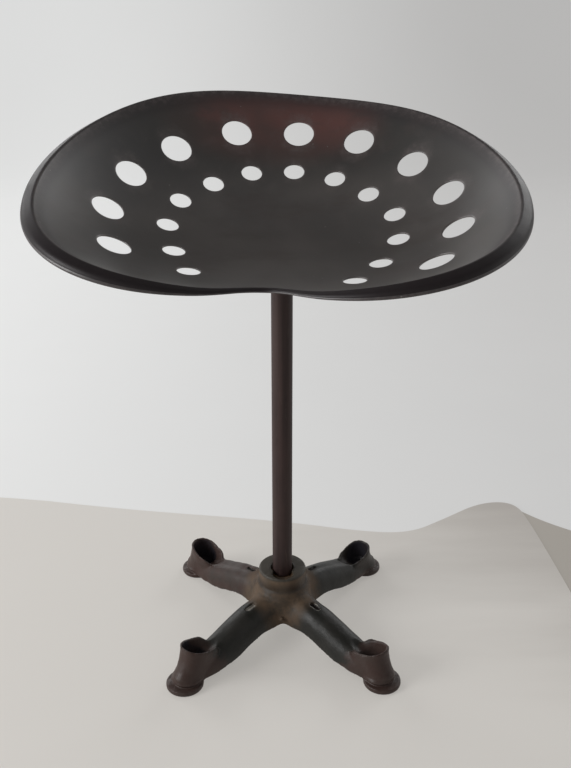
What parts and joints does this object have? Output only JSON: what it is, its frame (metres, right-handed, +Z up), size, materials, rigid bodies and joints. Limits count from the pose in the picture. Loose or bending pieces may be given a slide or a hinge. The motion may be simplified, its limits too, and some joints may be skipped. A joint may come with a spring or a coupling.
{
  "type": "tractor seat stool",
  "caption": "Stool with a dished, perforated pressed-steel seat on a round post that turns freely in the hub of a cast-iron base with arched legs and open boots on round feet.",
  "frame": {"origin": "on the floor, under the middle of the whole stool's box; the post's axis stands 3.62 mm to its +X side and 0.45 mm to its +Y side", "axes": "+Z up along the post; the seat's front faces -Y and its high back +Y; +X is on the right of someone who looks at the front"},
  "size_m": [0.418, 0.3652, 0.5262],
  "materials": {
    "cast_iron": "old dark paint over sand-cast iron, worn brown",
    "bronze": "plain turned",
    "seat_steel": "dark satin paint, worn",
    "post_steel": "dark brown satin paint",
    "weld": "painted over",
    "zinc": "dull plated"
  },
  "bodies": {
    "base": {"base_casting": "cast_iron", "hub_bush": "bronze", "thrust_washer": "bronze"},
    "seat": {"seat_pan": "seat_steel", "saddle_plate": "post_steel", "saddle_weld": "weld", "post_weld": "weld", "seat_post": "post_steel", "retaining_washer": "zinc", "castle_nut": "zinc", "split_pin": "zinc"}
  },
  "joints": [
    {"name": "seat_swivel", "type": "hinge", "parent": "base", "child": "seat", "pos_m": [0.00362, 0.00046, 0.05], "axis": [0, 0, 1], "continuous": true}
  ]
}
